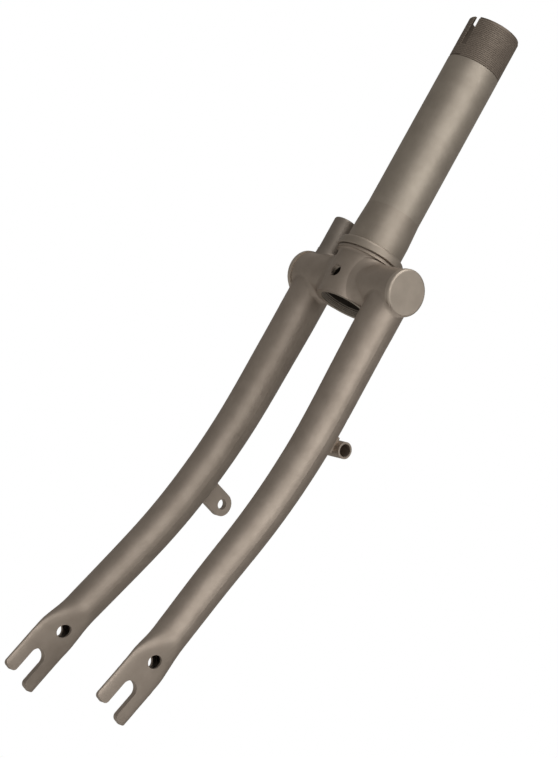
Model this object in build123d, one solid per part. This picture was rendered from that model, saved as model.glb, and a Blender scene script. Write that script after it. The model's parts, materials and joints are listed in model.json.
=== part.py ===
from build123d import *
import os
from math import cos, pi, radians, sin

# Rigid fork for a small-wheel bicycle, in millimetres.
# The origin is on the steerer axis, at the shoulder that the lower headset race sits on.
# +Z runs up the steerer, +X is forward and +Y is the rider's left.

# Steerer tube
steerer_od = 28.6
steerer_wall = 1.6
steerer_rise = 133.8
steerer_foot_od = 28.2
steerer_edge_round = 0.3
thread_length = 23.8
thread_depth = 0.45
keyway_width = 4.0
keyway_notch_depth = 8.3
keyway_groove_length = 12.5
keyway_groove_depth = 0.5

# Crown race seat, a turned ring on the steerer
seat_od = 30.0
seat_height = 9.5
seat_lead_in = 12.0
seat_lead_wall = 0.05
shoulder_od = 35.4
shoulder_height = 4.8
shoulder_round = 1.6
shoulder_chamfer = 0.35

# Crown lug, the T-shaped piece round the foot of the steerer
lug_wall = 1.1
lug_to_blade_braze = 0.25
lug_bottom_margin = 1.3
lug_blend = 0.5
lug_lip_od = 33.6
lug_lip_height = 1.2
lug_lip_gap = 0.7
lug_seat_od = 32.0
brake_hole_diameter = 6.6
brake_hole_drop = 20.3

# Crown arms and their end caps
arm_axis_drop = 19.0
arm_over_blade = 1.05
arm_wall = 2.0
cap_overhang = 0.5
cap_thickness = 3.0
cap_round = 1.3
cap_spigot = 3.0
cap_past_blade = 0.25

# Blades
hub_width = 74.0
axle_drop = 261.3
blade_half_spacing = 29.75
blade_set_back = 0.5
blade_od_top = 21.2
blade_od_end = 17.6
blade_wall = 1.3
blade_parallel = 22.0
blade_straight = 68.0
blade_bend_radius = 373.0
blade_bend_angle = 14.5
splay_top_start = 24.0
splay_top_length = 12.0
splay_top_slope = 0.0195
splay_bend_start = 146.0
splay_bend_length = 40.0
braze_radius = 2.8

# Flattened ends with the axle slots
flat_thickness = 3.0
flat_above_axle = 33.0
flat_length = 27.0
flat_widening_length = 20.0
flat_set_length = 11.0
flat_squareness = 0.88
end_width = 24.1
hollow_stop = 7.0
prong_length = 14.2
prong_corner = 2.6
axle_slot_width = 9.0
end_hole_diameter = 7.0
end_hole_above_axle = 18.4

# Peg on top of the right arm
peg_diameter = 12.8
peg_height = 20.9
peg_foot_wall = 0.25
peg_foot_height = 2.0
peg_outset = 1.0
peg_round = 1.2
peg_braze = 1.6

# Tab on the back of the right blade
tab_station = 123.0
tab_thickness = 3.0
tab_width = 12.0
tab_reach = 11.2
tab_hole_diameter = 5.3
tab_foot = 2.0

# Tubular boss on the back of the left blade
boss_station = 82.6
boss_od = 8.6
boss_bore = 6.6
boss_length = 17.6
boss_sink = 0.5
boss_foot = 1.6
boss_foot_length = 10.0

# Sizes that follow from the ones above
steerer_radius = steerer_od / 2
bore_radius = steerer_radius - steerer_wall
foot_radius = steerer_foot_od / 2
seat_top = seat_height + seat_lead_in
shoulder_radius = shoulder_od / 2
lug_top = -shoulder_height
lip_top = lug_top - lug_lip_gap
lip_radius = lug_lip_od / 2
sleeve_radius = steerer_radius + lug_wall
arm_radius = blade_od_top / 2 + arm_over_blade
lug_bottom = -arm_axis_drop - arm_radius - lug_bottom_margin
lug_half_width = blade_half_spacing - blade_od_top / 2 - braze_radius - lug_to_blade_braze
cap_face = blade_half_spacing + blade_od_top / 2 + cap_past_blade
arm_end = cap_face - cap_thickness
cap_radius = arm_radius + cap_overhang
bend_angle = radians(blade_bend_angle)
bend_end = blade_straight + blade_bend_radius * bend_angle
bend_depth = blade_straight + blade_bend_radius * sin(bend_angle)
axle_station = bend_end + (axle_drop - arm_axis_drop - bend_depth) / cos(bend_angle)
flat_start = axle_station - flat_above_axle
flat_end = flat_start + flat_length
hollow_end = flat_end - hollow_stop
splay_bend_middle = splay_bend_start + splay_bend_length / 2
set_start = flat_end - flat_set_length
set_middle = flat_end - flat_set_length / 2
# The lower slope brings the inner faces of the flattened ends to the hub's width.
end_half_spacing = (hub_width + flat_thickness) / 2
splay_top_middle = splay_top_start + splay_top_length / 2
splay_top_reach = splay_top_slope * (set_middle - splay_top_middle)
splay_left = end_half_spacing - blade_half_spacing - splay_top_reach
splay_extra_slope = splay_left / (set_middle - splay_bend_middle)
splay_end_slope = splay_top_slope + splay_extra_slope
# How far bars and boxes that only cut run past the crown
clear = 60.0


def along_y(radius, start, end):
    """Round bar on the crown arms' axis between two values of y."""
    plane = Plane(origin=(0, start, -arm_axis_drop), x_dir=(1, 0, 0), z_dir=(0, 1, 0))
    return extrude(plane * Circle(radius), end - start)


def along_z(radius, start, end, y=0.0):
    """Round bar along Z between two heights."""
    return extrude(Plane(origin=(0, y, start)) * Circle(radius), end - start)


def turned(*outline):
    """Ring turned round the steerer's axis from the edges of its half section."""
    return revolve(make_face(Wire(list(outline))), Axis.Z)


def run(*points):
    """Straight edges through (radius, height) points of a half section."""
    return Polyline(*[(r, 0, z) for r, z in points]).edges()


def between(solid, y_start, y_end, z_start, z_end):
    """The share of a solid between two values of y and of z."""
    box = Box(2 * clear, y_end - y_start, z_end - z_start)
    return solid & Pos(0, (y_start + y_end) / 2, (z_start + z_end) / 2) * box


def seam_edges(solid):
    """The edges where two round bars run into each other."""
    return [e for e in solid.edges() if e.geom_type not in (GeomType.CIRCLE, GeomType.LINE)]


def rims(solid, radius, centre):
    """The round edges of one radius that are centred on a point."""
    return [
        e for e in solid.edges().filter_by(GeomType.CIRCLE)
        if abs(e.radius - radius) < 0.001 and (e.arc_center - Vector(*centre)).length < 0.001
    ]


def eased(station, start, length):
    """Rise of a line whose slope grows from 0 to 1 over a length, at a station."""
    bent = min(max(station - start, 0.0), length)
    return bent ** 2 / (2 * length) + max(station - start - length, 0.0)


def slope_angle(station):
    """Rake of the left blade at a station, seen from the side."""
    return min(max((station - blade_straight) / blade_bend_radius, 0.0), bend_angle)


def blade_point(station):
    """Point on the left blade's centreline, so far along it from the crown arm's axis."""
    angle = slope_angle(station)
    past_bend = max(station - bend_end, 0.0)
    x = blade_bend_radius * (1 - cos(angle)) + past_bend * sin(angle)
    depth = min(station, blade_straight) + blade_bend_radius * sin(angle) + past_bend * cos(angle)
    y = blade_half_spacing + splay_top_slope * eased(station, splay_top_start, splay_top_length)
    y += splay_extra_slope * eased(station, splay_bend_start, splay_bend_length)
    y -= splay_end_slope * eased(station, set_start, flat_set_length)
    return Vector(x - blade_set_back, y, -arm_axis_drop - depth)


def blade_plane(station):
    """Plane across the left blade, with its x direction pointing forward."""
    step = 0.01
    direction = (blade_point(station + step) - blade_point(station - step)).normalized()
    angle = slope_angle(station)
    return Plane(origin=blade_point(station), x_dir=(cos(angle), 0, sin(angle)), z_dir=direction)


def side_plane(station):
    """Plane through the blade's centreline, parallel to the wheel, with y down the blade."""
    angle = slope_angle(station)
    forward = (cos(angle), 0, sin(angle))
    return Plane(origin=blade_point(station), x_dir=forward, z_dir=(0, 1, 0))


def blade_diameter(station):
    """Diameter of the blade where it is round, which tapers below its parallel top."""
    share = (station - blade_parallel) / (flat_start - blade_parallel)
    return blade_od_top + (blade_od_end - blade_od_top) * min(max(share, 0.0), 1.0)


def flattening(station):
    """How far the blade is flattened, and how far widened, at a station, both from 0 to 1."""
    share = min(max((station - flat_start) / flat_length, 0.0), 1.0)
    squash = 1 - (1 - share) ** 3 * (1 + 3 * share)
    share = min(max((station - flat_start) / flat_widening_length, 0.0), 1.0)
    return squash, share ** 2 * (3 - 2 * share)


def blade_section(station, inset):
    """Section of the blade, or of its hollow where the inset is the wall."""
    plane = blade_plane(station)
    diameter = blade_diameter(station)
    squash, widening = flattening(station)
    if squash == 0.0:
        radius = diameter / 2 - inset
        corner = radius * sin(pi / 4)
        quarters = []
        for cx, cy in ((1, 0), (0, 1), (-1, 0), (0, -1)):
            # Each quarter starts at (cx, cy) and turns towards (-cy, cx).
            ends = ((radius * cx, radius * cy), (-radius * cy, radius * cx))
            middle = (corner * (cx - cy), corner * (cx + cy))
            arc = [plane.from_local_coords(Vector(x, y)) for x, y in (ends[0], middle, ends[1])]
            quarters.append(Edge.make_three_point_arc(*arc))
        return Wire(quarters)
    half_width = (diameter + (end_width - diameter) * widening) / 2 - inset
    half_thickness = (diameter + (flat_thickness - diameter) * squash) / 2 - inset
    round_handle = 0.5523
    handle = round_handle + (flat_squareness - round_handle) * squash
    quarters = []
    for side_x, side_y in ((1, 1), (-1, 1), (-1, -1), (1, -1)):
        corners = [(1, 0), (1, handle), (handle, 1), (0, 1)]
        if side_x != side_y:
            corners.reverse()
        local = [Vector(side_x * half_width * x, side_y * half_thickness * y) for x, y in corners]
        quarters.append(Edge.make_bezier(*[plane.from_local_coords(point) for point in local]))
    return Wire(quarters)


def stations(start, end, spans):
    """Evenly spaced stations from a start to an end, both among them."""
    return [start + (end - start) * i / spans for i in range(spans + 1)]


def lofted(marks, inset):
    """Solid through the blade's sections at the given stations."""
    return Solid.make_loft([blade_section(mark, inset) for mark in marks])


def blade_round(inset):
    """The round, tapered and raked length of the blade, below its parallel top."""
    marks = stations(blade_parallel, blade_straight, 3)
    marks += stations(blade_straight, bend_end, 6)[1:]
    marks += stations(bend_end, flat_start, 3)[1:]
    return lofted(marks, inset)


def blade_top(radius):
    """The parallel top of the blade, from the arm's axis down."""
    return extrude(blade_plane(0.0) * Circle(radius), blade_parallel)


def blade_flare():
    """The parallel top of the blade with the fillet of braze under the arm."""
    arm = along_y(arm_radius, 0.0, clear)
    joint = arm + blade_top(blade_od_top / 2)
    joint = fillet(seam_edges(joint), braze_radius) - arm
    return between(joint, lug_half_width, cap_face, -clear - arm_axis_drop, 0.0)


def end_cuts():
    """Axle slot, prong corners and hole that are cut through the flattened end."""
    half_slot = axle_slot_width / 2
    half_end = end_width / 2
    below = prong_length + prong_corner
    shape = Circle(half_slot) + Pos(0, below / 2) * Rectangle(axle_slot_width, below)
    shape += Pos(0, prong_length + clear / 2) * Rectangle(clear, clear)
    centre_y = prong_length - prong_corner
    for side in (-1, 1):
        for edge, outward in ((half_slot, -1), (half_end, 1)):
            centre_x = edge - outward * prong_corner
            block = Pos(centre_x + outward * prong_corner, centre_y + prong_corner)
            corner = block * Rectangle(2 * prong_corner, 2 * prong_corner)
            corner -= Pos(centre_x, centre_y) * Circle(prong_corner)
            shape += corner if side == 1 else mirror(corner, Plane.YZ)
    shape += Pos(0, -end_hole_above_axle) * Circle(end_hole_diameter / 2)
    return extrude(side_plane(axle_station) * shape, end_width / 2, both=True)


def left_blade_body():
    """The outside of the left blade, before its hollow is taken out."""
    body = blade_flare() + blade_round(0.0)
    body += lofted(stations(flat_start, flat_end, 9), 0.0)
    tip = Face(blade_section(flat_end, 0.0))
    reach = axle_station + prong_length + prong_corner - flat_end
    return body + extrude(tip, reach, dir=blade_plane(flat_end).z_dir)


def left_blade_hollow():
    """The inside of the left blade, open towards the crown arm."""
    hollow = blade_top(blade_od_top / 2 - blade_wall) + blade_round(blade_wall)
    return hollow + lofted(stations(flat_start, hollow_end, 6), blade_wall)


def steerer_tube():
    """Steerer with its bore, the turned-down foot and thread length and the keyway."""
    tube = along_z(steerer_radius, seat_top, steerer_rise)
    tube += along_z(foot_radius, lug_bottom, seat_top)
    thread_start = steerer_rise - thread_length
    thread_radius = steerer_radius - thread_depth
    sleeve = along_z(steerer_od, thread_start, steerer_rise + 1)
    tube -= sleeve - along_z(thread_radius, thread_start, steerer_rise + 1)
    tube = fillet(rims(tube, thread_radius, (0, 0, steerer_rise)), steerer_edge_round)
    tube -= along_z(bore_radius, lug_bottom, steerer_rise)
    notch = Box(steerer_od, keyway_width, 2 * keyway_notch_depth)
    tube -= Pos(steerer_od / 2, 0, steerer_rise) * notch
    groove = Box(steerer_od, keyway_width, 2 * keyway_groove_length)
    groove_floor = thread_radius - keyway_groove_depth
    tube -= Pos(groove_floor + steerer_od / 2, 0, steerer_rise) * groove
    return tube - brake_hole()


def brake_hole():
    """Bar that drills the brake bolt's hole from front to back."""
    plane = Plane(origin=(-clear, 0, -brake_hole_drop), x_dir=(0, 1, 0), z_dir=(1, 0, 0))
    return extrude(plane * Circle(brake_hole_diameter / 2), 2 * clear)


def crown_race_seat():
    """Ring with the press seat for the headset's lower race and the shoulder under it."""
    seat_radius = seat_od / 2
    outline = run(
        (foot_radius, lug_top),
        (shoulder_radius - shoulder_chamfer, lug_top),
        (shoulder_radius, lug_top + shoulder_chamfer),
        (shoulder_radius, 0.0),
        (seat_radius, 0.0),
        (seat_radius, seat_height),
        (steerer_radius + seat_lead_wall, seat_top),
        (foot_radius, seat_top),
        (foot_radius, lug_top),
    )
    ring = turned(*outline)
    return fillet(rims(ring, shoulder_radius, (0, 0, 0)), shoulder_round)


def lug_sleeve():
    """The lug's upright outside, which the arms and the blades stop at."""
    return along_z(sleeve_radius, lug_bottom, lip_top)


def crown_lug():
    """T-shaped lug: a sleeve for the steerer, two stubs and a lip under the race seat."""
    body = along_z(sleeve_radius, -clear, clear) + along_y(arm_radius, -clear, clear)
    body = fillet(seam_edges(body), lug_blend)
    body = between(body, -lug_half_width, lug_half_width, lug_bottom, lip_top)
    body += lug_sleeve()
    flare = lip_radius - sleeve_radius
    lip_foot = lip_top - lug_lip_height
    slant = flare * sin(pi / 4)
    curve = ThreePointArc(
        (lip_radius, 0, lip_foot),
        (lip_radius - slant, 0, lip_foot - flare + slant),
        (sleeve_radius, 0, lip_foot - flare),
    )
    seat_radius = lug_seat_od / 2
    outside = run(
        (foot_radius, lip_foot - flare),
        (foot_radius, lug_top),
        (seat_radius, lug_top),
        (seat_radius, lip_top),
        (lip_radius, lip_top),
        (lip_radius, lip_foot),
    )
    inside = run((sleeve_radius, lip_foot - flare), (foot_radius, lip_foot - flare))
    body += turned(*outside, curve.edge(), *inside)
    body -= along_z(foot_radius, -clear, clear)
    return body - brake_hole()


def crown_arm():
    """Left crown arm, a short tube from the lug's stub to the cap."""
    start = lug_half_width
    arm = along_y(arm_radius, start, arm_end) - along_y(arm_radius - arm_wall, start, arm_end)
    return arm - lug_sleeve()


def end_cap():
    """Left end cap, a disc with a rounded rim and a spigot inside the arm."""
    disc = along_y(cap_radius, arm_end, cap_face)
    disc = fillet(rims(disc, cap_radius, (0, cap_face, -arm_axis_drop)), cap_round)
    return disc + along_y(arm_radius - arm_wall, arm_end - cap_spigot, arm_end)


def crown_peg():
    """Peg on the right arm, with a rounded top and a thicker foot that is brazed all round."""
    y = -blade_half_spacing - peg_outset
    arm_top = arm_radius - arm_axis_drop
    top = arm_top + peg_height
    arm = along_y(arm_radius, -2 * clear, 0.0)
    foot_bar = along_z(peg_diameter / 2 + peg_foot_wall, -arm_axis_drop, arm_top + peg_foot_height, y=y)
    peg = fillet(seam_edges(arm + foot_bar), peg_braze)
    peg += along_z(peg_diameter / 2, -arm_axis_drop, top, y=y)
    peg -= arm
    peg = fillet(rims(peg, peg_diameter / 2, (0, y, top)), peg_round)
    return peg - mirror(end_cap(), Plane.XZ)


def foot_outline(surface, half_width, radius, depth):
    """Foot that widens in two hollow curves towards a surface to its right."""
    wide = half_width + radius
    left = surface - radius
    shape = Pos(left + depth / 2, 0) * Rectangle(depth, 2 * wide)
    for side in (-1, 1):
        shape -= Pos(left, side * wide) * Circle(radius)
    return shape


def blade_tab():
    """D-shaped tab on the back of a blade, made on the left one."""
    back = blade_diameter(tab_station) / 2
    centre = -back - tab_reach
    shape = Pos(centre, 0) * Circle(tab_width / 2)
    shape += Pos(centre / 2, 0) * Rectangle(-centre, tab_width)
    shape += foot_outline(-back, tab_width / 2, tab_foot, back)
    shape -= Pos(centre, 0) * Circle(tab_hole_diameter / 2)
    return extrude(side_plane(tab_station) * shape, tab_thickness / 2, both=True)


def blade_boss():
    """Short tube across the back of the left blade, with a foot of braze."""
    back = blade_diameter(boss_station) / 2
    centre = -back - boss_od / 2 + boss_sink
    plane = side_plane(boss_station)
    boss = extrude(plane * Pos(centre, 0) * Circle(boss_od / 2), boss_length / 2, both=True)
    foot = foot_outline(-back, boss_od / 2 - boss_foot, boss_foot, back)
    boss += extrude(plane * foot, boss_foot_length / 2, both=True)
    bore = plane * Pos(centre, 0) * Circle(boss_bore / 2)
    return boss - extrude(bore, boss_length, both=True)


def one_solid(shape):
    """The solid of a shape that holds just one."""
    solids = shape.solids()
    assert len(solids) == 1, f"{len(solids)} solids where one was meant"
    return solids[0]


def build():
    """All the fork's pieces, by name."""
    cap = end_cap()
    body = left_blade_body()
    blade = body - left_blade_hollow() - end_cuts()
    blade -= along_y(arm_radius, lug_half_width, arm_end)
    blade -= cap + lug_sleeve()
    pieces = {
        "steerer_tube": steerer_tube(),
        "crown_race_seat": crown_race_seat(),
        "crown_lug": crown_lug(),
        "crown_arm_left": crown_arm(),
        "crown_arm_right": mirror(crown_arm(), Plane.XZ),
        "end_cap_left": cap,
        "end_cap_right": mirror(cap, Plane.XZ),
        "blade_left": blade,
        "blade_right": mirror(blade, Plane.XZ),
        "crown_peg": crown_peg(),
        "blade_tab": mirror(blade_tab() - body, Plane.XZ),
        "blade_boss": blade_boss() - body,
    }
    return {name: one_solid(shape) for name, shape in pieces.items()}


os.makedirs("parts", exist_ok=True)
for name, solid in build().items():
    export_step(solid, f"parts/{name}.step")
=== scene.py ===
"""Rigid fork for a small-wheel bicycle: finishes, thread, ribs, braze, studio and camera.

Lengths are in metres in the part's own frame: +Z runs up the steerer, +X is forward and
+Y is the rider's left. The origin is on the steerer's axis, where the lower race sits.
"""

import json
import logging
import math
from dataclasses import dataclass, field
from enum import Enum

import bmesh
import bpy
from mathutils import Matrix, Quaternion, Vector
from mathutils.kdtree import KDTree


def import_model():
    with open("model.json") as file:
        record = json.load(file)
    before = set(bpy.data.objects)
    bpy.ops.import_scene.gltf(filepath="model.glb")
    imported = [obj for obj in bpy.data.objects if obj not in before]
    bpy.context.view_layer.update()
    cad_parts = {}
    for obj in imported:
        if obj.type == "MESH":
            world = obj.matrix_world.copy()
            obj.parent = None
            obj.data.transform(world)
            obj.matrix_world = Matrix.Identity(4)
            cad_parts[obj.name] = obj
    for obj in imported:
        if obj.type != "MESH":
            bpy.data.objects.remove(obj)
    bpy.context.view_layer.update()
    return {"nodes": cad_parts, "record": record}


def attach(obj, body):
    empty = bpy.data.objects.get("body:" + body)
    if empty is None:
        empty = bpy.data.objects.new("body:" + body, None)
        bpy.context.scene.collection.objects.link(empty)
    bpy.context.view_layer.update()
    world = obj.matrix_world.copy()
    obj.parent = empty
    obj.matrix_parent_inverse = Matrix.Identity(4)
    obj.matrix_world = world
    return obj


log = logging.getLogger("fork")

MM = 0.001
BODY = "root"

Colour = tuple[float, float, float]
Point = tuple[float, float, float]


class Slot(Enum):
    """The record's material slots."""

    STEERER = "steerer_metal"
    RING = "ring_metal"
    BLASTED = "blasted_metal"
    CAP = "cap_metal"


class NodeInk:
    """A material's node tree with short ways to add and join nodes."""

    def __init__(self, name: str) -> None:
        """Start a node-based material.

        Args:
            name: The material's name.
        """
        self.material = bpy.data.materials.new(name)
        self.material.use_nodes = True
        self.tree = self.material.node_tree
        self.tree.nodes.clear()
        self.output = self.add("ShaderNodeOutputMaterial")
        self.surface = self.add("ShaderNodeBsdfPrincipled")
        self.join(self.surface, "BSDF", self.output, "Surface")
        self.place = self.add("ShaderNodeTexCoord")

    def add(self, kind: str, **values: object) -> bpy.types.Node:
        """Add a node and set its fields.

        Args:
            kind: The node's type name.
            values: Fields of the node, or inputs by name in lower case with underscores.

        Returns:
            The new node.
        """
        node = self.tree.nodes.new(kind)
        sockets = {s.name.lower().replace(" ", "_"): s for s in node.inputs if s.enabled}
        for key, value in values.items():
            if key in sockets:
                sockets[key].default_value = value
            else:
                setattr(node, key, value)
        return node

    def join(self, start: bpy.types.Node, out: str, end: bpy.types.Node, into: str) -> None:
        """Link an output to an input by their names."""
        self.tree.links.new(start.outputs[out], end.inputs[into])

    def noise(self, size: float, detail: float) -> bpy.types.Node:
        """Add noise that is read at the piece's own coordinates.

        Args:
            size: Size of one spot, in metres.
            detail: How many finer layers it has.

        Returns:
            The noise node.
        """
        noise = self.add("ShaderNodeTexNoise", scale=1.0 / size, detail=detail)
        self.join(self.place, "Object", noise, "Vector")
        return noise

    def ramp(self, source: bpy.types.Node, low: float, high: float,
             first: Colour, second: Colour) -> bpy.types.Node:
        """Colour a noise between two colours.

        Args:
            source: The noise.
            low: Value up to which the first colour holds.
            high: Value from which the second colour holds.
            first: Colour at the low end.
            second: Colour at the high end.

        Returns:
            The ramp node.
        """
        ramp = self.add("ShaderNodeValToRGB")
        ramp.color_ramp.elements[0].position = low
        ramp.color_ramp.elements[0].color = (*first, 1.0)
        ramp.color_ramp.elements[1].position = high
        ramp.color_ramp.elements[1].color = (*second, 1.0)
        self.join(source, "Fac", ramp, "Fac")
        return ramp

    def spread(self, source: bpy.types.Node, low: float, high: float) -> bpy.types.Node:
        """Map a noise onto a range of values.

        Args:
            source: The noise.
            low: Value where the noise is 0.
            high: Value where the noise is 1.

        Returns:
            The range node.
        """
        spread = self.add("ShaderNodeMapRange", to_min=low, to_max=high)
        self.join(source, "Fac", spread, "Value")
        return spread

    def compare(self, operation: str, source: bpy.types.Node, out: str,
                bound: float) -> bpy.types.Node:
        """Compare a value with a bound.

        Args:
            operation: LESS_THAN or GREATER_THAN.
            source: The node that gives the value.
            out: The name of its output.
            bound: The bound.

        Returns:
            The node that gives 1 where the comparison holds, else 0.
        """
        node = self.add("ShaderNodeMath", operation=operation)
        node.inputs[1].default_value = bound
        self.join(source, out, node, "Value")
        return node

    def paint_over(self, under: bpy.types.Node, where: bpy.types.Node,
                   colour: Colour) -> bpy.types.Node:
        """Replace a colour by another where a comparison holds.

        Args:
            under: The node that gives the colour so far.
            where: The node that gives 1 where the new colour goes.
            colour: The new colour.

        Returns:
            The mixing node.
        """
        mix = self.add("ShaderNodeMixRGB", color2=(*colour, 1.0))
        self.join(where, "Value", mix, "Fac")
        self.join(under, "Color", mix, "Color1")
        return mix


@dataclass(frozen=True)
class BareMetal:
    """Bare bronze-grey metal with a fine blasted grain.

    The grain is felt as a small bump, and a broad mottling shifts the colour a little.

    Attributes:
        name: The material's name.
        dark: Colour of the darker mottles.
        light: Colour of the lighter mottles.
        rough_low: Roughness of the smoother patches.
        rough_high: Roughness of the rougher patches.
        patch: Size of one such patch.
        patch_layers: Finer layers of the patches.
        grain: Size of one grain.
        grain_layers: Finer layers of the grain.
        grain_depth: How deep the grain is.
        grain_strength: How strongly the grain is felt.
        mottle: Size of one mottle.
        mottle_layers: Finer layers of the mottling.
        mottle_low: Noise up to which the darker colour holds.
        mottle_high: Noise from which the lighter colour holds.
        bore_radius: Radius within which the bore gets its painted shade, or 0 for none.
        bore: Near-black colour painted inside the bore as shade.
        mouth: Height under which the bore gets no painted shade and is as light as the outside.
        thread_foot: Height above which the turned-down top's colour shows.
        turned: The turned-down top's colour, seen between the thread's turns.
    """

    name: str
    dark: Colour
    light: Colour
    rough_low: float = 0.54
    rough_high: float = 0.62
    patch: float = 3 * MM
    patch_layers: float = 3.0
    grain: float = 0.35 * MM
    grain_layers: float = 3.0
    grain_depth: float = 0.008 * MM
    grain_strength: float = 0.6
    mottle: float = 9 * MM
    mottle_layers: float = 4.0
    mottle_low: float = 0.32
    mottle_high: float = 0.68
    bore_radius: float = 0.0
    # Painted shade: the inside of the bore gets this near-black colour where only shade falls.
    bore: Colour = (0.10, 0.085, 0.07)
    mouth: float = -28.9 * MM
    thread_foot: float = 0.0
    turned: Colour = (0.20, 0.165, 0.135)

    def material(self) -> bpy.types.Material:
        """Build the material.

        Returns:
            The finished material.
        """
        ink = NodeInk(self.name)
        mottle = ink.noise(self.mottle, self.mottle_layers)
        colour = ink.ramp(mottle, self.mottle_low, self.mottle_high, self.dark, self.light)
        if self.bore_radius > 0:
            self.paint_bore_shade_and_top_colour(ink, colour)
        else:
            ink.join(colour, "Color", ink.surface, "Base Color")
        ink.surface.inputs["Metallic"].default_value = 1.0
        patch = ink.noise(self.patch, self.patch_layers)
        rough = ink.spread(patch, self.rough_low, self.rough_high)
        ink.join(rough, "Result", ink.surface, "Roughness")
        grain = ink.noise(self.grain, self.grain_layers)
        bump = ink.add("ShaderNodeBump", strength=self.grain_strength, distance=self.grain_depth)
        ink.join(grain, "Fac", bump, "Height")
        ink.join(bump, "Normal", ink.surface, "Normal")
        return ink.material

    def paint_bore_shade_and_top_colour(self, ink: NodeInk, colour: bpy.types.Node) -> None:
        """Paint shade into the bore as a near-black colour, and give the turned-down top of the
        steerer its darker colour.

        Args:
            ink: The material's nodes.
            colour: The colour of the outside.
        """
        flat = ink.add("ShaderNodeMapping", scale=(1.0, 1.0, 0.0))
        ink.join(ink.place, "Object", flat, "Vector")
        radius = ink.add("ShaderNodeVectorMath", operation="LENGTH")
        ink.join(flat, "Vector", radius, "Vector")
        height = ink.add("ShaderNodeSeparateXYZ")
        ink.join(ink.place, "Object", height, "Vector")
        inside = ink.compare("LESS_THAN", radius, "Value", self.bore_radius)
        deep = ink.compare("GREATER_THAN", height, "Z", self.mouth)
        both = ink.add("ShaderNodeMath", operation="MINIMUM")
        ink.tree.links.new(inside.outputs["Value"], both.inputs[0])
        ink.tree.links.new(deep.outputs["Value"], both.inputs[1])
        above = ink.compare("GREATER_THAN", height, "Z", self.thread_foot)
        # The bore's near-black colour is painted shade, not the metal's own colour.
        with_bore_shade = ink.paint_over(colour, both, self.bore)
        with_top = ink.paint_over(with_bore_shade, above, self.turned)
        ink.join(with_top, "Color", ink.surface, "Base Color")


@dataclass
class Finishes:
    """The fork's finishes: one for each material slot, the thread's, the ribs', and a darker copy
    for the peg that paints in the shadow falling on it.
    """

    # The steerer's bore is painted near-black as shade.
    steerer: BareMetal = BareMetal(
        "steerer_metal", (0.38, 0.332, 0.277), (0.43, 0.378, 0.317),
        bore_radius=12.9 * MM, thread_foot=110.05 * MM)
    ring: BareMetal = BareMetal("ring_metal", (0.35, 0.302, 0.250), (0.40, 0.347, 0.290))
    blasted: BareMetal = BareMetal("blasted_metal", (0.365, 0.309, 0.258), (0.415, 0.354, 0.298))
    cap: BareMetal = BareMetal("cap_metal", (0.47, 0.408, 0.343), (0.53, 0.462, 0.390))
    thread: BareMetal = BareMetal(
        "thread_metal", (0.25, 0.208, 0.172), (0.285, 0.24, 0.20),
        rough_low=0.70, rough_high=0.78)
    # The peg's darker colour is painted shade: the steerer hides it from the key light.
    shaded_peg: BareMetal = BareMetal("peg_metal", (0.28, 0.243, 0.207), (0.33, 0.288, 0.247))
    inside: BareMetal = BareMetal("bore_metal", (0.30, 0.262, 0.225), (0.35, 0.305, 0.262))
    made: dict[str, bpy.types.Material] = field(default_factory=dict)

    def of(self, finish: BareMetal) -> bpy.types.Material:
        """Give a finish's material, which is made once.

        Args:
            finish: The finish.

        Returns:
            Its material.
        """
        if finish.name not in self.made:
            self.made[finish.name] = finish.material()
        return self.made[finish.name]

    def for_slot(self, slot: Slot) -> bpy.types.Material:
        """Give the material of one of the record's slots.

        Args:
            slot: The slot.

        Returns:
            Its material.
        """
        finish = {
            Slot.STEERER: self.steerer,
            Slot.RING: self.ring,
            Slot.BLASTED: self.blasted,
            Slot.CAP: self.cap,
        }[slot]
        return self.of(finish)


def finished_piece(mesh: bmesh.types.BMesh, name: str, material: bpy.types.Material,
                   edge_angle: float) -> bpy.types.Object:
    """Turn a bmesh into a piece that rides on the fork.

    Args:
        mesh: The shape, which is freed.
        name: The piece's name.
        material: Its material.
        edge_angle: Edges that turn by more degrees than this stay crisp.

    Returns:
        The new object.
    """
    limit = math.radians(edge_angle)
    for face in mesh.faces:
        face.smooth = True
    for edge in mesh.edges:
        edge.smooth = len(edge.link_faces) == 2 and edge.calc_face_angle(0.0) < limit
    data = bpy.data.meshes.new(name)
    mesh.to_mesh(data)
    mesh.free()
    data.materials.append(material)
    piece = bpy.data.objects.new(name, data)
    bpy.context.scene.collection.objects.link(piece)
    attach(piece, BODY)
    log.info("%s: %d faces", name, len(data.polygons))
    return piece


@dataclass
class Fork:
    """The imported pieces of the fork, which get their finishes here."""

    finishes: Finishes
    nodes: dict[str, bpy.types.Object]
    shaded_peg: str = "crown_peg"

    def dress(self, slots: dict[str, str]) -> None:
        """Give every piece of the fork its finish.

        Args:
            slots: The material slot of each node.
        """
        for name, node in sorted(self.nodes.items()):
            material = self.finishes.for_slot(Slot(slots[name]))
            # The peg gets the darker copy of the metal, which paints in its shade.
            if name == self.shaded_peg:
                material = self.finishes.of(self.finishes.shaded_peg)
            node.data.materials.clear()
            node.data.materials.append(material)
            log.info("%s wears %s", name, material.name)


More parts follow.
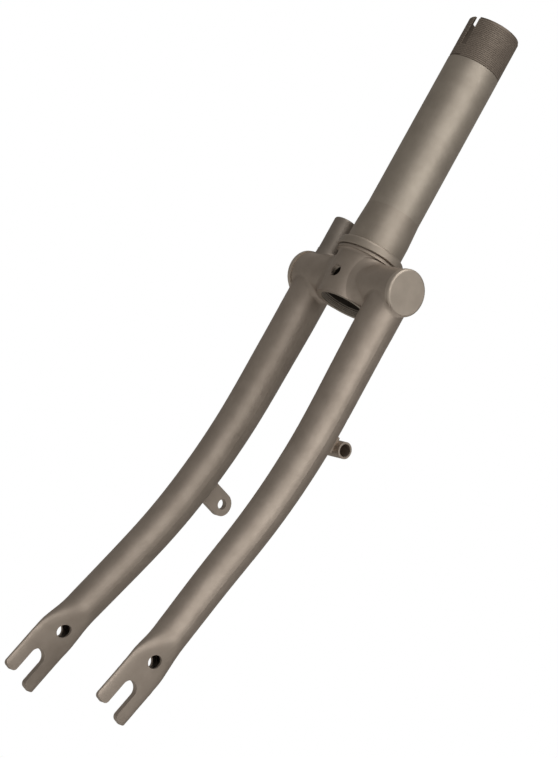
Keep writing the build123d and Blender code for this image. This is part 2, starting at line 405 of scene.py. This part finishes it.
@dataclass
class SteererThread:
    """The external thread at the top of the steerer, with the keyway through its upper turns.

    Each turn's section reaches into the steerer, and stops short of the next turn by a hair.

    Attributes:
        core_radius: Radius that the section reaches in to.
        root_radius: Radius of the thread's roots.
        crest_radius: Radius of the thread's crests.
        pitch: Height from one turn to the next, for 26 turns to the inch.
        crest_flat: Width of the flat on the crests.
        foot: Height of the thread's foot.
        keyway_foot: Height from which the turns are open at the keyway.
        top: Height of the thread's top.
        keyway_half: Half the keyway's width.
        parting: Half the gap between one turn and the next.
        steps: Number of flats in one turn.
        edge_angle: Edges that turn by more degrees than this stay crisp.
    """

    core_radius: float = 13.80 * MM
    root_radius: float = 14.02 * MM
    crest_radius: float = 14.26 * MM
    pitch: float = 25.4 / 26 * MM
    crest_flat: float = 0.26 * MM
    foot: float = 110.15 * MM
    keyway_foot: float = 117.0 * MM
    top: float = 133.65 * MM
    keyway_half: float = 2.0 * MM
    parting: float = 0.012 * MM
    steps: int = 72
    edge_angle: float = 30.0

    def profile(self, mesh: bmesh.types.BMesh, height: float, start: float) -> list[object]:
        """Draw one ridge's section.

        Args:
            mesh: The bmesh to draw in.
            height: Height of the ridge's middle.
            start: Angle from +X at which the section stands, in radians.

        Returns:
            The section's vertices, edges and face.
        """
        half = self.pitch / 2 - self.parting
        flat = self.crest_flat / 2
        corners = [
            (self.core_radius, -half), (self.root_radius, -half),
            (self.crest_radius, -flat), (self.crest_radius, flat),
            (self.root_radius, half), (self.core_radius, half),
        ]
        turn = Matrix.Rotation(start, 3, "Z")
        made = [mesh.verts.new(turn @ Vector((r, 0.0, height + z))) for r, z in corners]
        face = mesh.faces.new(made)
        return [*made, *face.edges, face]

    def wind(self, mesh: bmesh.types.BMesh, height: float, start: float, sweep: float) -> None:
        """Wind a ridge up the steerer.

        Args:
            mesh: The bmesh to draw in.
            height: Height of the ridge's middle where it starts.
            start: Angle at which it starts, in radians.
            sweep: Angle that it turns through, in radians.
        """
        turns = sweep / math.tau
        steps = round(self.steps * turns)
        bmesh.ops.spin(
            mesh, geom=self.profile(mesh, height, start), cent=(0, 0, 0), axis=(0, 0, 1),
            dvec=(0, 0, self.pitch * turns / steps), angle=sweep, steps=steps,
            use_merge=False, use_normal_flip=False, use_duplicate=False,
        )

    def build(self, finishes: Finishes) -> bpy.types.Object:
        """Make the thread: one long ridge below the keyway, and one open turn at a time beside it.

        Args:
            finishes: The fork's finishes.

        Returns:
            The thread's object.
        """
        mesh = bmesh.new()
        gap = math.asin(self.keyway_half / self.crest_radius)
        turns = int((self.top - self.foot) / self.pitch) - 1
        closed = int((self.keyway_foot - self.foot) / self.pitch)
        middle = self.foot + self.pitch / 2
        self.wind(mesh, middle, gap, math.tau * closed - 2 * gap)
        for turn in range(closed, turns):
            self.wind(mesh, middle + turn * self.pitch, gap, math.tau - 2 * gap)
        bmesh.ops.recalc_face_normals(mesh, faces=mesh.faces)
        material = finishes.of(finishes.thread)
        return finished_piece(mesh, "steerer_thread", material, self.edge_angle)


@dataclass
class BoreRibs:
    """The ridges inside the foot of the steerer's bore.

    Attributes:
        bore_radius: Radius that the ridges reach out to, a hair into the tube's wall.
        crest_radius: Radius of their crests.
        foot: Height of the lowest ridge.
        pitch: Height from one ridge to the next.
        count: Number of ridges.
        half_width: Half a ridge's width.
        steps: Number of flats in one ridge.
        edge_angle: Edges that turn by more degrees than this stay crisp.
    """

    bore_radius: float = 12.72 * MM
    crest_radius: float = 12.45 * MM
    foot: float = -30.9 * MM
    pitch: float = 0.85 * MM
    count: int = 4
    half_width: float = 0.30 * MM
    steps: int = 96
    edge_angle: float = 50.0

    def build(self, finishes: Finishes) -> bpy.types.Object:
        """Make the ridges as closed rings against the bore's wall.

        Args:
            finishes: The fork's finishes.

        Returns:
            The ridges' object.
        """
        mesh = bmesh.new()
        for index in range(self.count):
            middle = self.foot + index * self.pitch
            corners = [
                (self.bore_radius, middle - self.half_width),
                (self.crest_radius, middle),
                (self.bore_radius, middle + self.half_width),
            ]
            made = [mesh.verts.new((r, 0.0, z)) for r, z in corners]
            edges = [mesh.edges.new(pair) for pair in zip(made, [*made[1:], made[0]])]
            bmesh.ops.spin(
                mesh, geom=[*made, *edges], cent=(0, 0, 0), axis=(0, 0, 1),
                dvec=(0, 0, 0), angle=math.tau, steps=self.steps,
                use_merge=True, use_normal_flip=False, use_duplicate=False,
            )
        bmesh.ops.recalc_face_normals(mesh, faces=mesh.faces)
        material = finishes.of(finishes.inside)
        return finished_piece(mesh, "bore_ribs", material, self.edge_angle)


@dataclass
class CrownBraze:
    """Braze that flows from the crown's lug onto one arm and rounds the corner between them.

    Attributes:
        name: The piece's name.
        side: 1 for the left arm, -1 for the right one.
        sleeve_radius: Radius of the lug's upright sleeve.
        sleeve_bore: Radius within which the lug stays clear of braze.
        arm_radius: Radius of the arm.
        arm_axis: Height of the arm's axis.
        wall: Thickness of the braze's skin.
        low: Height where the braze ends at the foot of the lug.
        high: Height where it ends under the lug's lip.
        spare: How far the sleeve runs on past both while the corner is rounded.
        arm_end: How far out the arm runs while the corner is rounded.
        core: Distance from the corner within which the braze has its full form.
        reach: Distance from the corner at which it has died out.
        hole_edge: Distance from the crown's middle that stays free for the brake bolt's hole.
        hole_fade: Width over which the braze dies out beside that hole.
        sunk: How far it is let into the metal, so that its thin edge doesn't show.
        voxel: Size of the skin's faces.
        ease: How far one pass draws a point to its neighbours.
        passes: How many such passes round the corner.
        sides: Number of flats round the sleeve and the arm.
        edge_angle: Edges that turn by more degrees than this stay crisp.
    """

    name: str
    side: int
    sleeve_radius: float = 15.4 * MM
    sleeve_bore: float = 14.5 * MM
    arm_radius: float = 11.65 * MM
    arm_axis: float = -19.0 * MM
    wall: float = 0.8 * MM
    low: float = -31.9 * MM
    high: float = -7.6 * MM
    spare: float = 8.0 * MM
    arm_end: float = 32.0 * MM
    core: float = 3.5 * MM
    reach: float = 10.0 * MM
    hole_edge: float = 3.9 * MM
    hole_fade: float = 4.0 * MM
    sunk: float = 0.03 * MM
    voxel: float = 0.55 * MM
    ease: float = 0.5
    passes: int = 400
    sides: int = 128
    edge_angle: float = 60.0

    def seam(self) -> list[Vector]:
        """Points along the corner where the arm meets the sleeve.

        Returns:
            The points, evenly spaced round the arm.
        """
        points = []
        for step in range(self.sides):
            turn = math.tau * step / self.sides
            across = self.arm_radius * math.sin(turn)
            out = math.sqrt(self.sleeve_radius ** 2 - across ** 2)
            height = self.arm_axis + self.arm_radius * math.cos(turn)
            points.append(Vector((across, self.side * out, height)))
        return points

    def bar(self, mesh: bmesh.types.BMesh, radius: float, low: float,
            high: float) -> list[bmesh.types.BMVert]:
        """Draw a closed bar round Z.

        Args:
            mesh: The bmesh to draw in.
            radius: Its radius.
            low: Height of its foot.
            high: Height of its top.

        Returns:
            Its vertices.
        """
        place = Matrix.Translation((0, 0, (low + high) / 2))
        made = bmesh.ops.create_cone(
            mesh, cap_ends=True, segments=self.sides, radius1=radius, radius2=radius,
            depth=high - low, matrix=place)
        return made["verts"]

    def rough_shape(self) -> bpy.types.Object:
        """Join sleeve and arm as plain bars, before the corner between them is filled.

        Returns:
            An object that holds the bars.
        """
        mesh = bmesh.new()
        self.bar(mesh, self.sleeve_radius, self.low - self.spare, self.high + self.spare)
        arm = self.bar(mesh, self.arm_radius, 0.0, self.arm_end)
        turn = Matrix.Rotation(-self.side * math.pi / 2, 3, "X")
        bmesh.ops.rotate(mesh, verts=arm, cent=(0, 0, 0), matrix=turn)
        bmesh.ops.translate(mesh, verts=arm, vec=(0, 0, self.arm_axis))
        data = bpy.data.meshes.new(self.name)
        mesh.to_mesh(data)
        mesh.free()
        return bpy.data.objects.new(self.name, data)

    def joined(self) -> bmesh.types.BMesh:
        """Merge the bars into one skin of small even faces.

        Returns:
            The skin.
        """
        rough = self.rough_shape()
        bars = rough.data
        bpy.context.scene.collection.objects.link(rough)
        remesh = rough.modifiers.new("skin", "REMESH")
        remesh.mode = "VOXEL"
        remesh.voxel_size = self.voxel
        graph = bpy.context.evaluated_depsgraph_get()
        skin = bpy.data.meshes.new_from_object(rough.evaluated_get(graph))
        mesh = bmesh.new()
        mesh.from_mesh(skin)
        bpy.data.objects.remove(rough)
        bpy.data.meshes.remove(bars)
        bpy.data.meshes.remove(skin)
        return mesh

    def share(self, distance: float, sideways: float) -> float:
        """How much of the filled corner's form a spot takes.

        Args:
            distance: How far the spot is from the corner.
            sideways: How far it is from the middle of the crown.

        Returns:
            1 near the corner, fading softly to 0 at the braze's reach and beside the hole.
        """
        spread = (self.reach - distance) / (self.reach - self.core)
        beside = (sideways - self.hole_edge) / self.hole_fade
        fade = min(1.0, max(0.0, spread)) * min(1.0, max(0.0, beside))
        return fade * fade * (3 - 2 * fade)

    def round_corner(self, mesh: bmesh.types.BMesh) -> set[bmesh.types.BMVert]:
        """Fill the corner between sleeve and arm with a soft round.

        Args:
            mesh: The skin of sleeve and arm.

        Returns:
            The vertices that the round reaches.
        """
        tree = KDTree(self.sides)
        for index, point in enumerate(self.seam()):
            tree.insert(point, index)
        tree.balance()
        share = {v: self.share(tree.find(v.co)[2], v.co.y * self.side) for v in mesh.verts}
        home = {v: v.co.copy() for v in mesh.verts if share[v] > 0}
        for _ in range(self.passes):
            bmesh.ops.smooth_vert(
                mesh, verts=list(home), factor=self.ease,
                use_axis_x=True, use_axis_y=True, use_axis_z=True)
        for vert, start in home.items():
            vert.co = start.lerp(vert.co, share[vert])
        return set(home)

    def build(self, finishes: Finishes) -> bpy.types.Object:
        """Make the braze as a thin skin that stands proud only in the corner.

        Args:
            finishes: The fork's finishes.

        Returns:
            The braze's object.
        """
        mesh = self.joined()
        rounded = self.round_corner(mesh)
        plain = [
            v for v in mesh.verts
            if v not in rounded or math.hypot(v.co.x, v.co.y) < self.sleeve_bore
        ]
        bmesh.ops.delete(mesh, geom=plain, context="VERTS")
        for height, up in ((self.low, -1), (self.high, 1)):
            bmesh.ops.bisect_plane(
                mesh, geom=[*mesh.verts, *mesh.edges, *mesh.faces], plane_co=(0, 0, height),
                plane_no=(0, 0, up), clear_outer=True)
        bmesh.ops.recalc_face_normals(mesh, faces=mesh.faces)
        bmesh.ops.solidify(mesh, geom=mesh.faces, thickness=self.wall)
        for vert in mesh.verts:
            vert.co -= vert.normal * self.sunk
        material = finishes.of(finishes.blasted)
        return finished_piece(mesh, self.name, material, self.edge_angle)


def direction(azimuth: float, elevation: float) -> Vector:
    """Unit vector at an angle from +X towards +Y, and an angle above the ground.

    Args:
        azimuth: Degrees from +X towards +Y.
        elevation: Degrees above the ground.

    Returns:
        The vector, which points away from the fork.
    """
    a, e = math.radians(azimuth), math.radians(elevation)
    return Vector((math.cos(a) * math.cos(e), math.sin(a) * math.cos(e), math.sin(e)))


@dataclass
class SoftLight:
    """One large soft light that is aimed at the fork.

    Attributes:
        name: The light's name.
        azimuth: Degrees from +X towards +Y at which it hangs.
        elevation: Degrees above the ground at which it hangs.
        distance: How far it hangs from the point that it is aimed at.
        width: Width of the light.
        height: Height of the light.
        power: Its power in watts.
        aim: The point that it is aimed at.
    """

    name: str
    azimuth: float
    elevation: float
    distance: float
    width: float
    height: float
    power: float
    aim: Point = (0.0, 0.0, -0.06)

    def build(self) -> None:
        """Hang the light at its place round the fork and aim it."""
        data = bpy.data.lights.new(self.name, "AREA")
        data.shape = "RECTANGLE"
        data.size = self.width
        data.size_y = self.height
        data.energy = self.power
        lamp = bpy.data.objects.new(self.name, data)
        bpy.context.scene.collection.objects.link(lamp)
        aim = Vector(self.aim)
        out = direction(self.azimuth, self.elevation)
        lamp.location = aim + out * self.distance
        lamp.rotation_mode = "QUATERNION"
        lamp.rotation_quaternion = (-out).to_track_quat("-Z", "Y")


@dataclass
class Studio:
    """Pale floor, white surroundings and soft lights.

    Attributes:
        floor_height: Height of the floor, below the fork and the camera.
        floor_size: Length of the floor's sides.
        floor_colour: The floor's colour.
        floor_roughness: The floor's roughness.
        floor_lift: How much the floor is lifted towards white where it is seen directly.
        fill: Strength of the even light from all round.
        fill_colour: Colour of that light.
        lights: The soft lights, each with name, azimuth, elevation, distance, width, height
            and power.
    """

    floor_height: float = -0.80
    floor_size: float = 60.0
    floor_colour: Colour = (0.86, 0.86, 0.85)
    floor_roughness: float = 0.9
    floor_lift: float = 0.55
    fill: float = 0.27
    fill_colour: Colour = (1.0, 0.97, 0.935)
    lights: tuple[SoftLight, ...] = (
        SoftLight("key", 86.0, 12.0, 2.4, 0.6, 1.0, 14.2),
        SoftLight("side", 112.0, 6.0, 2.4, 0.6, 1.0, 1.8),
        SoftLight("front", 48.0, 13.0, 2.4, 0.6, 1.0, 5.0),
        SoftLight("overhead", 60.0, 62.0, 2.4, 0.6, 1.0, 24.0),
    )

    def build(self) -> None:
        """Make the floor, the surroundings and the lights."""
        self.floor()
        self.surroundings()
        for light in self.lights:
            light.build()

    def floor(self) -> None:
        """Lay the pale floor well below the fork and the camera."""
        mesh = bmesh.new()
        bmesh.ops.create_grid(mesh, x_segments=1, y_segments=1, size=self.floor_size / 2)
        bmesh.ops.translate(mesh, verts=mesh.verts, vec=(0, 0, self.floor_height))
        data = bpy.data.meshes.new("floor")
        mesh.to_mesh(data)
        mesh.free()
        ink = NodeInk("floor_paint")
        ink.surface.inputs["Base Color"].default_value = (*self.floor_colour, 1.0)
        ink.surface.inputs["Roughness"].default_value = self.floor_roughness
        path = ink.add("ShaderNodeLightPath")
        lift = ink.add("ShaderNodeMath", operation="MULTIPLY")
        lift.inputs[1].default_value = self.floor_lift
        ink.surface.inputs["Emission Color"].default_value = (*self.floor_colour, 1.0)
        ink.join(path, "Is Camera Ray", lift, "Value")
        ink.join(lift, "Value", ink.surface, "Emission Strength")
        data.materials.append(ink.material)
        floor = bpy.data.objects.new("floor", data)
        bpy.context.scene.collection.objects.link(floor)

    def surroundings(self) -> None:
        """Show white behind the fork, and light it with a dim even fill."""
        world = bpy.data.worlds.new("surroundings")
        bpy.context.scene.world = world
        world.use_nodes = True
        tree = world.node_tree
        tree.nodes.clear()
        output = tree.nodes.new("ShaderNodeOutputWorld")
        mix = tree.nodes.new("ShaderNodeMixShader")
        path = tree.nodes.new("ShaderNodeLightPath")
        fill = tree.nodes.new("ShaderNodeBackground")
        fill.inputs["Color"].default_value = (*self.fill_colour, 1.0)
        fill.inputs["Strength"].default_value = self.fill
        white = tree.nodes.new("ShaderNodeBackground")
        white.inputs["Color"].default_value = (1.0, 1.0, 1.0, 1.0)
        tree.links.new(path.outputs["Is Camera Ray"], mix.inputs["Fac"])
        tree.links.new(fill.outputs["Background"], mix.inputs[1])
        tree.links.new(white.outputs["Background"], mix.inputs[2])
        tree.links.new(mix.outputs["Shader"], output.inputs["Surface"])


@dataclass
class PhotoCamera:
    """Camera at the photograph's angle, for a frame of 558 by 758.

    Attributes:
        azimuth: Degrees from +X towards +Y at which it stands.
        elevation: Degrees above the ground at which it stands.
        roll: Degrees that the picture is turned by.
        distance: How far it stands from the point that it is aimed at.
        aim: The point that it is aimed at.
        focal: Length of the lens in millimetres.
        sensor: Width of the sensor in millimetres.
        nearest: Distance under which nothing shows.
        farthest: Distance past which nothing shows.
    """

    azimuth: float = 52.383
    elevation: float = -12.884
    roll: float = 28.953
    distance: float = 1.8329
    aim: Point = (0.009609, -0.004483, -0.081904)
    focal: float = 174.11
    sensor: float = 36.0
    nearest: float = 0.01
    farthest: float = 100.0

    def build(self) -> None:
        """Place the camera and make it the scene's own."""
        data = bpy.data.cameras.new("photo_camera")
        data.sensor_width = self.sensor
        data.lens = self.focal
        data.clip_start = self.nearest
        data.clip_end = self.farthest
        camera = bpy.data.objects.new("photo_camera", data)
        bpy.context.scene.collection.objects.link(camera)
        out = direction(self.azimuth, self.elevation)
        level = (-out).to_track_quat("-Z", "Y")
        camera.location = Vector(self.aim) + out * self.distance
        camera.rotation_mode = "QUATERNION"
        camera.rotation_quaternion = level @ Quaternion((0, 0, 1), math.radians(self.roll))
        bpy.context.scene.camera = camera


def show_colours() -> None:
    """Show colours plainly, as a shop's cut-out picture does."""
    view = bpy.context.scene.view_settings
    view.view_transform = "Standard"
    view.look = "None"
    view.exposure = 0.0
    view.gamma = 1.0


def main() -> None:
    """Build the dressed fork, its studio and its camera."""
    logging.basicConfig(level=logging.INFO, format="%(name)s %(message)s")
    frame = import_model()
    finishes = Finishes()
    slots = {row["node"]: row["material_slot"] for row in frame["record"]["subparts"]}
    PhotoCamera().build()
    Fork(finishes, frame["nodes"]).dress(slots)
    SteererThread().build(finishes)
    BoreRibs().build(finishes)
    CrownBraze("crown_braze_left", 1).build(finishes)
    CrownBraze("crown_braze_right", -1).build(finishes)
    Studio().build()
    show_colours()


if __name__ == "__main__":
    main()
